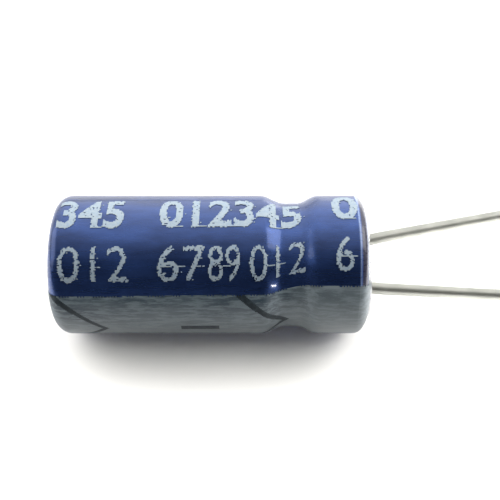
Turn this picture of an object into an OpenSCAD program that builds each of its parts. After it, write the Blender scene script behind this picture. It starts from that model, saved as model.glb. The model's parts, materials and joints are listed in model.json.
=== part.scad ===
// Radial aluminium electrolytic capacitor, as it comes apart on a bench.
// It lies on its side: the can's axis is X, the closed end points to -X, the leads leave
// towards +X and +Z is up. The origin is on that axis, in the plane of the can's open rim,
// where the part seats on a board. It rests on the plane z = -rest_r, on the sleeve's side
// and on the tips of its two leads.

/* [Can] */
// Outside diameter of the drawn can
can_d = 5; // [4.6:0.1:6.5]
// Length of the can, from its closed end to its open rim
can_l = 11.3; // [9:0.05:16]
// Wall thickness of the can
can_wall = 0.2; // [0.15:0.01:0.24]
// Outside radius of the corner round the closed end
corner_r = 0.42; // [0.3:0.02:0.8]
// Outside radius of the curl round the open rim
curl_r = 0.3; // [0.26:0.01:0.5]
// Angle that the curl turns the wall through
curl_turn = 130; // [100:5:140]

/* [Bead] */
// Distance from the open rim back to the middle of the bead
bead_x = 2.63; // [2.3:0.01:2.8]
// Depth of the bead in the can
bead_depth = 0.42; // [0.3:0.01:0.6]
// Length of the bead's level floor
bead_floor = 0.5; // [0.2:0.05:0.7]
// Length of the slope on the closed end's side
bead_back = 0.88; // [0.5:0.01:1]
// Length of the slope on the rim's side
bead_front = 0.76; // [0.5:0.01:0.9]

/* [Sleeve] */
// Thickness of the shrunk film
sleeve_t = 0.12; // [0.08:0.01:0.16]
// Depth to which the film follows the bead
sleeve_dip = 0.29; // [0.1:0.01:0.3]
// Radius of the round opening that the film leaves at the closed end
sleeve_open_r = 1.75; // [1.2:0.05:1.9]
// Angle of the curl at which the film's lip leaves it
lip_turn = 62; // [40:1:70]
// How far the middle of the lip's edge stands out past the open rim
lip_out = 0.18; // [0.1:0.01:0.3]
// Slant of the lip's cut edge
lip_slant = 2.5; // [0:0.5:4]
// Direction in which the lip is longest, as an angle below the horizontal on the -Y side
lip_long_side = 40; // [0:5:90]

/* [Polarity print] */
// Angle of the sleeve's round that the stripe covers
stripe_angle = 74; // [50:1:90]
// Thickness of the printed layer
ink_t = 0.03; // [0.02:0.005:0.05]
// Distance from the open rim back to the middle between the two chevrons' points
marks_x = 6.19; // [5.5:0.01:6.6]
// Distance between the two chevrons' points
mark_pitch = 6.8; // [5.4:0.05:7.2]
// Distance that the minus bar lies nearer the rim than the chevrons' middle
minus_shift = 0.21; // [-0.3:0.01:0.3]
// Length of the minus bar
minus_l = 1.41; // [0.8:0.01:2]
// Width of the minus bar
minus_w = 0.3; // [0.15:0.01:0.5]
// Width of the chevrons' arms
chevron_w = 0.2; // [0.1:0.01:0.3]
// Angle of each chevron arm to the stripe's length
chevron_slope = 45; // [30:1:60]
// Part of the closed end's corner that the stripe runs over, as an angle
stripe_wrap = 60; // [20:5:75]
// Bare edge between the stripe's end and the lip's edge
stripe_margin = 0.05; // [0.02:0.01:0.15]

/* [Bung] */
// Distance from the open rim to the bung's inner face
bung_l = 3.8; // [3:0.05:4.4]
// Distance of the bung's outer face inside the open rim
bung_recess = 0.06; // [0.02:0.01:0.08]
// Chamfer round the bung's inner edge
bung_chamfer = 0.25; // [0.1:0.05:0.4]
// Thickness of the rubber web that only the wires pass
web_t = 0.4; // [0.3:0.05:0.6]

/* [Leads] */
// Distance between the leads' centre lines at the bung
lead_pitch = 2; // [1.8:0.05:2.2]
// Diameter of the tinned wires
lead_d = 0.45; // [0.4:0.01:0.5]
// Angle below the horizontal of the negative lead and the stripe's middle, on the -Y side
roll = 11; // [0:1:20]
// Straight length of the long positive wire, past its kink
positive_l = 21; // [14:0.5:28]
// Straight length of the short negative wire, past its kink
negative_l = 16; // [12:0.5:24]
// Angle at which the positive wire splays sideways, seen from above
positive_splay_angle = 18.5; // [10:0.5:25]
// Angle at which the negative wire splays sideways, seen from above
negative_splay_angle = 2; // [-5:0.5:8]
// Distance past the rim at which each wire starts to bend
stub_l = 0.05; // [0.05:0.05:0.4]
// Radius of each wire's bend
bend_r = 0.8; // [0.6:0.1:1.5]
// Straight length between each wire's bend and its small kink back
first_l = 0.8; // [0.6:0.1:1.5]
// Angle of that kink
kink_angle = 3; // [1:0.5:6]
// Length of the weld between each wire and its tab
weld_l = 0.3; // [0.2:0.05:0.5]

/* [Tabs] */
// Diameter of each tab's round stud
stud_d = 0.9; // [0.7:0.05:1]
// Distance that each stud reaches past the bung's inner face
stud_over = 0.2; // [0.1:0.05:0.3]
// Length of the cone from each stud down to its paddle
shoulder_l = 0.25; // [0.15:0.05:0.35]
// Thickness of each tab's paddle
paddle_t = 0.18; // [0.12:0.01:0.24]
// Angle of the roll that a paddle takes up
paddle_span = 60; // [40:20:80]
// Length of each paddle inside the roll
paddle_l = 4.2; // [3:0.1:5]

/* [Wound element] */
// Radius of the hole that the winding pin leaves
core_r = 0.45; // [0.3:0.05:0.6]
// Thickness of the anode foil
anode_t = 0.08; // [0.06:0.01:0.12]
// Thickness of the cathode foil
cathode_t = 0.04; // [0.03:0.01:0.06]
// Thickness of each paper separator
paper_t = 0.04; // [0.03:0.01:0.06]
// Clearance between neighbouring layers of the roll
roll_gap = 0.01; // [0.005:0.001:0.02]
// Clearance between the roll and the can's wall
roll_room = 0.1; // [0.05:0.01:0.2]
// Distance from the can's floor to the roll
floor_gap = 0.15; // [0.05:0.05:0.4]
// Distance from the bung to the roll
head_gap = 0.6; // [0.5:0.05:0.9]
// Distance that the papers stand out past the foils at each end
paper_over = 0.3; // [0.2:0.05:0.5]
// Turn of paper before the foils start and after they end, as an angle
paper_lead = 90; // [30:30:180]
// Thickness of the tape round the roll
tape_t = 0.05; // [0.03:0.01:0.08]
// Width of the tape
tape_w = 4; // [2:0.5:5]
// Overlap of the tape's ends, as an angle
tape_lap = 30; // [10:10:60]

/* [Fits] */
// Clearance between pieces that touch
contact_gap = 0.01; // [0.005:0.001:0.015]

/* [Hidden] */

$fn = 96;
// Angle between the points of an arc and of the roll, and the number of steps along the bead
arc_step = 10;
roll_step = 10;
bead_steps = 26;
// Distance that a hole's cutter runs on past the piece
overcut = 0.5;
// How much thicker a wire is round its bend and kink, and how far its straights run into the
// bend, so that they join as one solid
bend_step = 0.002;
bend_run = 0.03;
// First guess and number of rounds when the angle at which a wire drops is worked out
drop_guess = 8;
drop_rounds = 8;

// Sides of the can on which the two leads lie
POSITIVE = 1;
NEGATIVE = -1;

can_r = can_d / 2;
lead_r = lead_d / 2;
stud_r = stud_d / 2;
lead_offset = lead_pitch / 2;

// Depths under the can's outer surface, less than 0 outside it
sleeve_in = -contact_gap;
sleeve_out = sleeve_in - sleeve_t;
ink_in = sleeve_out - contact_gap;
ink_out = ink_in - ink_t;
bung_out = can_wall + contact_gap;

// Height of the axis above the table
rest_r = can_r - sleeve_out;

// Depths of the roll's layers inside one turn, from the inner paper outwards
anode_at = paper_t + roll_gap;
paper_at = anode_at + anode_t + roll_gap;
cathode_at = paper_at + paper_t + roll_gap;
roll_pitch = cathode_at + cathode_t + roll_gap;

// Order of the layers in one turn; a paddle lies just outside its foil
INNER_PAPER = 0;
ANODE = 1;
OUTER_PAPER = 2;
CATHODE = 3;
TAPE = 4;
paddle_rise = paddle_t + roll_gap;
paddle_half = paddle_span / 2;
// Angle over which the layers outside a paddle settle back to the round
paddle_fade = 50;

// Turn angle of each paddle's middle: the turn that lies nearest to the stud's centre
function paddle_turn(direction, foil_top) =
    direction + 360 * max(0, round((lead_offset - paddle_rise / 2 - core_r - foil_top
        - roll_pitch * direction / 360) / roll_pitch));
anode_paddle = paddle_turn(90, anode_at + anode_t);
cathode_paddle = paddle_turn(270, cathode_at + cathode_t);

// Turn angle at which the papers end, from the room inside the can
roll_space = can_r - can_wall - roll_room - tape_t - paddle_rise - core_r;
roll_end = roll_step * floor((roll_space / roll_pitch - 1) * 360 / roll_step) - tape_lap;

// Ends of the roll along the axis
paper_x = -can_l + can_wall + floor_gap;
paper_w = -bung_l - head_gap - paper_x;
foil_x = paper_x + paper_over;
foil_w = paper_w - 2 * paper_over;

// Smooth step from 0 at t = 0 to 1 at t = 1
function ease(t) = let (c = min(1, max(0, t))) c * c * (3 - 2 * c);

function reversed(points) = [for (i = [len(points) - 1:-1:0]) points[i]];

// Outlines are lists of [x, radius]. An arc's angles count from the radius towards +X.
function on_arc(x, r, size, a) = [x + size * sin(a), r + size * cos(a)];
function arc(x, r, size, from, to) =
    concat([for (a = [from:arc_step:to - arc_step / 10]) on_arc(x, r, size, a)],
        [on_arc(x, r, size, to)]);

// Share of the bead's depth at x, from 0 on the plain wall to 1 on the floor
bead_start = -bead_x - bead_floor / 2 - bead_back;
bead_end = -bead_x + bead_floor / 2 + bead_front;
function bead_share(x) = ease((x - bead_start) / bead_back) * ease((bead_end - x) / bead_front);
function bead(r, dip) =
    [for (i = [0:bead_steps]) let (x = bead_start + (bead_end - bead_start) * i / bead_steps)
        [x, r - dip * bead_share(x)]];

// Lines at a depth under the can's outer surface: the closed end's corner, the wall with its
// bead, and the curl as far as an angle
function corner_line(depth, from) =
    arc(-can_l + corner_r, can_r - corner_r, corner_r - depth, from, 0);
function curl_line(depth, turn) =
    arc(-curl_r, can_r - curl_r, curl_r - depth, 0, turn);
function wall_line(depth, dip, turn) =
    concat(corner_line(depth, -90), bead(can_r - depth, dip), curl_line(depth, turn));

// Point past the end of a line along the curl, straight on by a length
function past_curl(depth, turn, length) =
    [-curl_r + (curl_r - depth) * sin(turn) + length * cos(turn),
        can_r - curl_r + (curl_r - depth) * cos(turn) - length * sin(turn)];

// Solid of revolution about X, over an angle that starts at the local -Z side
module turned(outline, angle = 360) {
    rotate([0, 90, 0])
        rotate_extrude(angle = angle)
            polygon([for (p = outline) [p[1], p[0]]]);
}

// Cylinder or cone along X
module rod(x, length, r, r_end) {
    translate([x, 0, 0])
        rotate([0, 90, 0])
            cylinder(r1 = r, r2 = r_end, h = length);
}

// What lies on the line through both leads, with the positive lead at the local +Y side
module rolled() {
    rotate([roll, 0, 0])
        children();
}

// Everything past the lip's slanted edge, moved along the axis
module past_lip(shift) {
    reach = 4 * rest_r;
    translate([lip_out + shift, 0, 0])
        rotate([lip_long_side, 0, 0])
            rotate([0, 0, lip_slant])
                translate([0, -reach / 2, -reach / 2])
                    cube([reach, reach, reach]);
}

// Length of film past the curl that reaches the slanted edge all the way round
lip_l = (lip_out + rest_r * tan(lip_slant) - past_curl(sleeve_in, lip_turn, 0)[0]) / cos(lip_turn);

module sleeve() {
    color("midnightblue")
        difference() {
            turned(concat(
                [[-can_l + sleeve_in, sleeve_open_r]],
                wall_line(sleeve_in, sleeve_dip, lip_turn),
                [past_curl(sleeve_in, lip_turn, lip_l), past_curl(sleeve_out, lip_turn, lip_l)],
                reversed(wall_line(sleeve_out, sleeve_dip, lip_turn)),
                [[-can_l + sleeve_out, sleeve_open_r]]));
            past_lip(0);
        }
}

// Chevron that points to +X with its point at x, cut through the local -Y side
module chevron(x) {
    reach = rest_r;
    run = reach / tan(chevron_slope);
    thick = chevron_w / sin(chevron_slope);
    rotate([90, 0, 0])
        linear_extrude(height = 2 * rest_r)
            polygon([[x, 0], [x - run, reach], [x - run - thick, reach],
                [x - thick, 0], [x - run - thick, -reach], [x - run, -reach]]);
}

module minus_bar() {
    translate([-marks_x + minus_shift - minus_l / 2, -2 * rest_r, -minus_w / 2])
        cube([minus_l, 2 * rest_r, minus_w]);
}

module polarity_stripe() {
    color("slategray")
        difference() {
            rolled()
                difference() {
                    rotate([-90 - stripe_angle / 2, 0, 0])
                        turned(concat(
                            corner_line(ink_in, -stripe_wrap),
                            bead(can_r - ink_in, sleeve_dip),
                            curl_line(ink_in, lip_turn),
                            [past_curl(ink_in, lip_turn, lip_l), past_curl(ink_out, lip_turn, lip_l)],
                            reversed(curl_line(ink_out, lip_turn)),
                            reversed(bead(can_r - ink_out, sleeve_dip)),
                            reversed(corner_line(ink_out, -stripe_wrap))), stripe_angle);
                    minus_bar();
                    for (side = [-1, 1])
                        chevron(-marks_x + side * mark_pitch / 2);
                }
            past_lip(-stripe_margin);
        }
}

module can() {
    color("silver")
        turned(concat(
            [[-can_l, 0]],
            wall_line(0, bead_depth, curl_turn),
            reversed(wall_line(can_wall, bead_depth, curl_turn)),
            [[-can_l + can_wall, 0]]));
}

// Radius of the rubber at x, inside the can's wall
function bung_r(x) = can_r - bung_out - bead_depth * bead_share(x);

module bung() {
    // Where the chamfer ends, where the rubber passes the curl's edge, and its rim on the outer face
    wall_x = -bung_l + bung_chamfer / 2;
    curl_edge = past_curl(0, curl_turn, contact_gap);
    face_r = curl_edge[1] - bung_recess;
    color("dimgray")
        difference() {
            turned(concat(
                [[-bung_l, 0], [-bung_l, bung_r(-bung_l) - bung_chamfer], [wall_x, bung_r(wall_x)]],
                [for (p = bead(can_r - bung_out, bead_depth)) if (p[0] > wall_x) p],
                curl_line(bung_out, curl_turn),
                [past_curl(bung_out, curl_turn, contact_gap), curl_edge,
                    [-bung_recess, face_r], [-bung_recess, 0]]));
            rolled()
                for (side = [POSITIVE, NEGATIVE])
                    translate([0, side * lead_offset, 0]) {
                        rod(-bung_l - overcut, bung_l + overcut - web_t, stud_r + contact_gap,
                            stud_r + contact_gap);
                        rod(-bung_l, bung_l + overcut, lead_r + contact_gap,
                            lead_r + contact_gap);
                    }
        }
}

// Extra radius of a layer that lies outside a paddle, in full over the paddle and faded beside it
function swell(a, order, paddle_a, paddle_order) =
    let (past = a - paddle_a, beside = abs(past - 360 * round(past / 360)))
    past > (order > paddle_order ? -180 : 180)
        ? paddle_rise * (1 - ease((beside - paddle_half) / paddle_fade))
        : 0;

// Radius at turn angle a of a line that lies at a depth inside one turn of the roll
function roll_r(a, order, at) = core_r + roll_pitch * a / 360 + at
    + swell(a, order, anode_paddle, ANODE) + swell(a, order, cathode_paddle, CATHODE);

function roll_line(order, at, from, to) =
    [for (a = [from:roll_step:to]) roll_r(a, order, at) * [cos(a), sin(a)]];

// One wound layer, or a short stretch of one, from turn angle to turn angle
module wound(order, at, thick, from, to, x, width) {
    rolled()
        translate([x, 0, 0])
            rotate([0, 90, 0])
                linear_extrude(height = width)
                    polygon(concat(roll_line(order, at, from, to),
                        reversed(roll_line(order, at + thick, from, to))));
}

module anode_foil() {
    color("gainsboro")
        wound(ANODE, anode_at, anode_t, paper_lead, roll_end - paper_lead, foil_x, foil_w);
}

module cathode_foil() {
    color("lightgray")
        wound(CATHODE, cathode_at, cathode_t, paper_lead, roll_end - paper_lead, foil_x, foil_w);
}

module separator_inner() {
    color("burlywood")
        wound(INNER_PAPER, 0, paper_t, 0, roll_end, paper_x, paper_w);
}

module separator_outer() {
    color("tan")
        wound(OUTER_PAPER, paper_at, paper_t, 0, roll_end, paper_x, paper_w);
}

module winding_tape() {
    color("goldenrod")
        wound(TAPE, roll_pitch, tape_t, roll_end - 360, roll_end + tape_lap,
            paper_x + (paper_w - tape_w) / 2, tape_w);
}

// Aluminium tab: a stud through the bung, a swaged cone and a paddle rolled in beside its foil
module tab(side, order, foil_top, paddle_a) {
    rolled()
        translate([0, side * lead_offset, 0]) {
            rod(-bung_l - stud_over, bung_l + stud_over - web_t - weld_l, stud_r, stud_r);
            rod(-bung_l - stud_over - shoulder_l, shoulder_l, paddle_t / 2, stud_r);
        }
    wound(order, foil_top + roll_gap, paddle_t, paddle_a - paddle_half, paddle_a + paddle_half,
        foil_x + foil_w - paddle_l, paddle_l - foil_x - foil_w - bung_l - stud_over);
}

module positive_tab() {
    color("lightsteelblue")
        tab(POSITIVE, ANODE, anode_at + anode_t, anode_paddle);
}

module negative_tab() {
    color("lightsteelblue")
        tab(NEGATIVE, CATHODE, cathode_at + cathode_t, cathode_paddle);
}

// Centre of a lead at the bung
function lead_y(side) = side * lead_offset * cos(roll);
function lead_z(side) = side * lead_offset * sin(roll);

// Angle between the axis and a wire that drops and splays by the given angles
function bend_of(drop, splay) = acos(cos(drop) * cos(splay));

// Distance that a wire's tip lies aside of its base
function aside(length, bend) =
    bend_r * (1 - cos(bend + kink_angle)) + first_l * sin(bend + kink_angle) + length * sin(bend);

// Angle at which a wire drops so that its tip just rests on the table, found in a few rounds
function drop_angle(side, length, splay, drop = drop_guess, rounds = drop_rounds) =
    let (bend = bend_of(drop, splay), fall = lead_z(side) + rest_r - lead_r)
    rounds == 0 ? drop
        : drop_angle(side, length, splay, asin(fall * sin(bend) / aside(length, bend)), rounds - 1);

// Tinned wire: its weld, a stub along the axis, a bend, a short straight, a kink part of the
// way back and the long straight to its tip
module lead(side, length, splay) {
    drop = drop_angle(side, length, splay);
    bend = bend_of(drop, splay);
    first_bend = bend + kink_angle;
    lean = atan2(-sin(drop), cos(drop) * sin(splay));
    weld_x = -web_t - weld_l + contact_gap;
    translate([0, lead_y(side), lead_z(side)])
        rotate([lean, 0, 0]) {
            rod(weld_x, weld_l - contact_gap, stud_r, lead_r);
            rod(weld_x, stub_l + bend_run - weld_x, lead_r, lead_r);
            translate([stub_l, bend_r, 0])
                rotate([0, 0, -90])
                    rotate_extrude(angle = first_bend)
                        translate([bend_r, 0])
                            circle(r = lead_r + bend_step);
            translate([stub_l + bend_r * sin(first_bend), bend_r * (1 - cos(first_bend)), 0])
                rotate([0, 0, first_bend]) {
                    rod(-bend_run, first_l + bend_run, lead_r, lead_r);
                    translate([first_l, 0, 0]) {
                        sphere(r = lead_r + bend_step);
                        rotate([0, 0, -kink_angle])
                            rod(0, length, lead_r, lead_r);
                    }
                }
        }
}

module positive_lead() {
    color("lightgray")
        lead(POSITIVE, positive_l, positive_splay_angle);
}

module negative_lead() {
    color("lightgray")
        lead(NEGATIVE, negative_l, negative_splay_angle);
}

sleeve();
polarity_stripe();
can();
bung();
anode_foil();
cathode_foil();
separator_inner();
separator_outer();
winding_tape();
positive_tab();
negative_tab();
positive_lead();
negative_lead();
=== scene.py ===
"""Dressed view of a small radial electrolytic capacitor that lies on its side on a pale table.

Lengths in this file are millimetres. Each piece is modelled in them and then scaled to metres.
The can's axis is X, the leads leave towards +X and +Z is up. Angles round the can are counted
from the -Y side upwards, so 0 degrees is the front and 90 degrees is the top.
"""

import json
import logging
import math
from dataclasses import dataclass, field
from enum import Enum
from typing import Callable, Sequence

import bmesh
import bpy
from mathutils import Matrix, Vector, noise


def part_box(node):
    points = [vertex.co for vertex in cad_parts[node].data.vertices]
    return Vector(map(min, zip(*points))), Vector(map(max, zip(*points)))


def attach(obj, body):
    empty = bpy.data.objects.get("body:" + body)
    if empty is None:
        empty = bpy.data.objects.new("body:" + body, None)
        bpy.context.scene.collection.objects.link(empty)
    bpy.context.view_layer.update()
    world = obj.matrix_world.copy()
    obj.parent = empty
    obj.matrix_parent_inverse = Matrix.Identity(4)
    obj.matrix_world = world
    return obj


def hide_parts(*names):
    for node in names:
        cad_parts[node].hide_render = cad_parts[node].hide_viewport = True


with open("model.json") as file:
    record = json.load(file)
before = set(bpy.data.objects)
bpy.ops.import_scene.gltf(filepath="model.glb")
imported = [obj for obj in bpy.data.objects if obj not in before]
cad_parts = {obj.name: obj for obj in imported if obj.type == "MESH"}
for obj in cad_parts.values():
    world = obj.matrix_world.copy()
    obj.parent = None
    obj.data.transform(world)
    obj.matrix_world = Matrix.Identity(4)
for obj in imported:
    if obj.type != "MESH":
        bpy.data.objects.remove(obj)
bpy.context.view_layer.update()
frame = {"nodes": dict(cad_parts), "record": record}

MM = 0.001
BODY = "root"
log = logging.getLogger("capacitor")

Point = tuple[float, float]
Triple = tuple[float, float, float]
Colour = Triple
Ramp = tuple[Point, Point]


class Node(Enum):
    """The solids of the frame, by the names they carry there."""

    SLEEVE = "sleeve"
    STRIPE = "polarity_stripe"
    CAN = "can"
    BUNG = "bung"
    ANODE = "anode_foil"
    CATHODE = "cathode_foil"
    INNER_PAPER = "separator_inner"
    OUTER_PAPER = "separator_outer"
    TAPE = "winding_tape"
    POSITIVE_TAB = "positive_tab"
    NEGATIVE_TAB = "negative_tab"
    POSITIVE_LEAD = "positive_lead"
    NEGATIVE_LEAD = "negative_lead"


class Slot(Enum):
    """Names of the record's material slots, handed to each new piece."""

    FILM = "sleeve_film"
    INK = "stripe_ink"
    WIRE = "tinned_wire"


class Seed(Enum):
    """Offsets that give each use of the noise its own pattern."""

    SWELL = 3.1
    CREASE = 8.3
    LIP_WAVE = 4.4
    LIP_FRAY = 6.1
    TEETH = 5.5
    JITTER = 2.2
    BARE = 7.7
    SMEAR = 31.0
    TAIL = 12.0


def in_mm(corner: Vector) -> Vector:
    """Returns a corner of a frame box in millimetres."""
    return corner / MM


def spread(first: float, last: float, steps: int) -> list[float]:
    """Returns evenly spaced values from first to last, both included."""
    return [first + (last - first) * i / steps for i in range(steps + 1)]


def ease(t: float) -> float:
    """Smooth step.

    Args:
        t: Place along the step, from 0 to 1 and past either end.

    Returns:
        0 before the step, 1 past it.
    """
    t = min(1.0, max(0.0, t))
    return t * t * (3 - 2 * t)


def ripple(place: Sequence[float], wave: Triple, seed: Seed) -> float:
    """Smooth noise that is the same in every run.

    Args:
        place: The place where it is read.
        wave: Waves per unit along each coordinate of the place.
        seed: The use that the noise is for.

    Returns:
        A value from about -1 to 1.
    """
    x, y, z = (count * value for count, value in zip(wave, place))
    shift = seed.value
    return noise.noise(Vector((x + shift, y - shift, z + 0.37 * shift)))


class Tree:
    """A node tree, built from its output backwards."""

    def __init__(self, tree: bpy.types.NodeTree) -> None:
        """Takes over a tree and empties it.

        Args:
            tree: The tree of a material or a world.
        """
        self.tree = tree
        self.tree.nodes.clear()

    def add(self, kind: str, **values: object) -> bpy.types.Node:
        """Adds a node and sets its properties or sockets.

        Args:
            kind: Type of the node.
            **values: Properties by name, or sockets by name with _ for a space.

        Returns:
            The new node.
        """
        node = self.tree.nodes.new(kind)
        for key, value in values.items():
            if hasattr(node, key):
                setattr(node, key, value)
            else:
                self.feed(node.inputs[key.replace("_", " ")], value)
        return node

    def feed(self, socket: bpy.types.NodeSocket, value: object) -> None:
        """Links a socket to an output, or sets it to a constant.

        Args:
            socket: The input to feed.
            value: An output socket, a number or a colour.
        """
        if isinstance(value, bpy.types.NodeSocket):
            self.tree.links.new(value, socket)
        elif isinstance(value, tuple) and len(value) == 3 and socket.type == "RGBA":
            socket.default_value = (*value, 1.0)
        else:
            socket.default_value = value

    def math(self, operation: str, first: object, second: object) -> bpy.types.NodeSocket:
        """Adds one step of arithmetic.

        Args:
            operation: Name of the operation.
            first: Number or output.
            second: Number or output.

        Returns:
            The result.
        """
        node = self.add("ShaderNodeMath", operation=operation)
        self.feed(node.inputs[0], first)
        self.feed(node.inputs[1], second)
        return node.outputs[0]

    def ramp(self, value: bpy.types.NodeSocket, low: Point, high: Point) -> bpy.types.NodeSocket:
        """Maps a value from one range to another and clamps it.

        Args:
            value: The value to map.
            low: The value where the ramp starts, and what it gives there.
            high: The value where the ramp ends, and what it gives there.

        Returns:
            The mapped value.
        """
        node = self.add("ShaderNodeMapRange", clamp=True)
        numbers = (low[0], high[0], low[1], high[1])
        for name, number in zip(("From Min", "From Max", "To Min", "To Max"), numbers):
            node.inputs[name].default_value = number
        self.feed(node.inputs["Value"], value)
        return node.outputs[0]

    def blend(self, share: object, first: object, second: object) -> bpy.types.NodeSocket:
        """Mixes two colours.

        Args:
            share: Share of the second colour.
            first: A colour or output.
            second: A colour or output.

        Returns:
            The mixed colour.
        """
        node = self.add("ShaderNodeMix", data_type="RGBA")
        self.feed(node.inputs["Factor"], share)
        self.feed(node.inputs["A"], first)
        self.feed(node.inputs["B"], second)
        return node.outputs["Result"]


class Shader(Tree):
    """A material's node tree, with patterns on object coordinates."""

    def __init__(self, name: str) -> None:
        """Starts a material with an empty tree.

        Args:
            name: Name of the material.
        """
        self.material = bpy.data.materials.new(name)
        self.material.use_nodes = True
        super().__init__(self.material.node_tree)
        self.output = self.add("ShaderNodeOutputMaterial")
        self.place = self.add("ShaderNodeTexCoord").outputs["Object"]

    def surface(self, **values: object) -> bpy.types.Node:
        """Adds the surface shader and joins it to the output.

        Args:
            **values: Its sockets, by name with _ for a space.

        Returns:
            The shader node.
        """
        node = self.add("ShaderNodeBsdfPrincipled")
        for key, value in values.items():
            self.feed(node.inputs[key.replace("_", " ")], value)
        self.feed(self.output.inputs["Surface"], node.outputs[0])
        return node

    def stretched(self, scale: Triple) -> bpy.types.NodeSocket:
        """Scales object coordinates.

        Args:
            scale: Factor along each axis, counted per millimetre.

        Returns:
            The scaled coordinates.
        """
        node = self.add("ShaderNodeMapping", vector_type="POINT")
        node.inputs["Vector"].default_value = (0, 0, 0)
        node.inputs["Scale"].default_value = tuple(value / MM for value in scale)
        self.feed(node.inputs["Vector"], self.place)
        return node.outputs[0]

    def along(self, axis: str = "X") -> bpy.types.NodeSocket:
        """Returns the distance along an axis, which is the can's unless named, in millimetres."""
        parts = self.add("ShaderNodeSeparateXYZ", Vector=self.stretched((1, 1, 1)))
        return parts.outputs[axis]

    def band(self, low: float, high: float, soft: float) -> bpy.types.NodeSocket:
        """Marks a band round the can.

        Args:
            low: Where the band starts along the axis, in millimetres.
            high: Where it ends.
            soft: Length over which each of its edges fades.

        Returns:
            1 in the band, 0 away from it.
        """
        rise = self.ramp(self.along(), (low - soft, 0.0), (low + soft, 1.0))
        fall = self.ramp(self.along(), (high - soft, 1.0), (high + soft, 0.0))
        return self.math("MULTIPLY", rise, fall)

    def noise(
        self, scale: Triple, detail: float = 3.0, rough: float = 0.55
    ) -> bpy.types.NodeSocket:
        """Adds noise on object coordinates.

        Args:
            scale: Waves per millimetre along X, Y and Z.
            detail: Octaves.
            rough: Share of each octave in the next.

        Returns:
            The noise, from 0 to 1.
        """
        node = self.add("ShaderNodeTexNoise", Vector=self.stretched(scale))
        self.feed(node.inputs["Scale"], 1.0)
        self.feed(node.inputs["Detail"], detail)
        self.feed(node.inputs["Roughness"], rough)
        return node.outputs["Fac"]

    def bump(self, height: bpy.types.NodeSocket, depth: float) -> bpy.types.NodeSocket:
        """Turns a height into a normal.

        Args:
            height: The height, from 0 to 1.
            depth: Depth of the relief, in millimetres.

        Returns:
            The normal.
        """
        node = self.add("ShaderNodeBump", Height=height)
        self.feed(node.inputs["Strength"], 1.0)
        self.feed(node.inputs["Distance"], depth * MM)
        return node.outputs[0]


# In the finishes below a pattern is given by its waves per millimetre along X, Y and Z, a band by
# its start, end and fade along the can in millimetres, and a ramp by where it starts and ends,
# each with what it gives there.

# Top of the film's raised ridge beside the rim, where film and print are painted paler: partly
# rubbed wear, partly a painted highlight along the ridge
RIDGE = (-0.262, -0.208, 0.018)


@dataclass(frozen=True)
class FilmFinish:
    """Dark blue shrunk film: pearly pigment under a clear gloss; ridge worn and painted highlight,
    lip painted shade and light.
    """

    deep: Colour = (0.018, 0.043, 0.145)
    light: Colour = (0.036, 0.082, 0.270)
    cloud: Triple = (0.5, 1.3, 1.3)
    lightened: Ramp = ((0.35, 0.0), (0.7, 1.0))
    # painted shade: the lip's cone is painted near black, for the shade and dark reflection it
    # faces
    lip: Colour = (0.023, 0.023, 0.044)
    lip_shade_band: Triple = (-0.17, 0.03, 0.02)
    # painted light: the film past the rim is painted pale grey, as light coming through the thin
    # film and off its grazing face makes it
    thin: Colour = (0.20, 0.21, 0.22)
    lit_edge_band: Triple = (0.05, 1.0, 0.03)
    # partly rubbed wear, partly a painted highlight: the ridge is painted a paler blue
    rubbed_and_lit: Colour = (0.20, 0.27, 0.45)
    worn_and_sheen: Ramp = ((0.3, 0.4), (0.6, 0.9))
    pearly: Ramp = ((-0.28, 0.75), (-0.2, 0.0))
    drawn: Triple = (0.8, 9.0, 9.0)
    roughness: Ramp = ((0.35, 0.25), (0.7, 0.36))
    coat: float = 0.70
    coat_roughness: float = 0.10
    dimples: Triple = (2.0, 3.0, 3.0)
    relief: float = 0.006

    def material(self) -> bpy.types.Material:
        """Returns the material of the film's faces."""
        shader = Shader("shrunk_film")
        cloud = shader.noise(self.cloud, 3)
        drawn = shader.noise(self.drawn, 4)
        colour = shader.blend(shader.ramp(cloud, *self.lightened), self.deep, self.light)
        # painted shade on the lip's cone
        colour = shader.blend(shader.band(*self.lip_shade_band), colour, self.lip)
        # painted light at the lip's edge
        colour = shader.blend(shader.band(*self.lit_edge_band), colour, self.thin)
        # ridge painted paler: partly rubbed wear, partly a painted highlight
        worn_and_sheen = shader.math("MULTIPLY", shader.band(*RIDGE), shader.ramp(cloud, *self.worn_and_sheen))
        shader.surface(
            Base_Color=shader.blend(worn_and_sheen, colour, self.rubbed_and_lit),
            Metallic=shader.ramp(shader.along(), *self.pearly),
            Roughness=shader.ramp(drawn, *self.roughness),
            Coat_Weight=self.coat,
            Coat_Roughness=self.coat_roughness,
            Normal=shader.bump(shader.noise(self.dimples, 4), self.relief),
        )
        return shader.material


@dataclass(frozen=True)
class CutEdgeFinish:
    """Cut edge of the film, paler where light comes through it."""

    colour: Colour = (0.33, 0.36, 0.40)
    shade: float = 0.6
    mottle: Triple = (4, 4, 4)
    mottled: Ramp = ((0.3, 0.0), (0.7, 1.0))
    roughness: float = 0.45
    glow: float = 0.3
    depth: float = 0.1

    def material(self) -> bpy.types.Material:
        """Returns the material of the film's cut edges."""
        shader = Shader("film_cut_edge")
        share = shader.ramp(shader.noise(self.mottle, 3), *self.mottled)
        dark = tuple(self.shade * value for value in self.colour)
        shader.surface(
            Base_Color=shader.blend(share, self.colour, dark),
            Roughness=self.roughness,
            Subsurface_Weight=self.glow,
            Subsurface_Scale=self.depth * MM,
        )
        return shader.material


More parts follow.
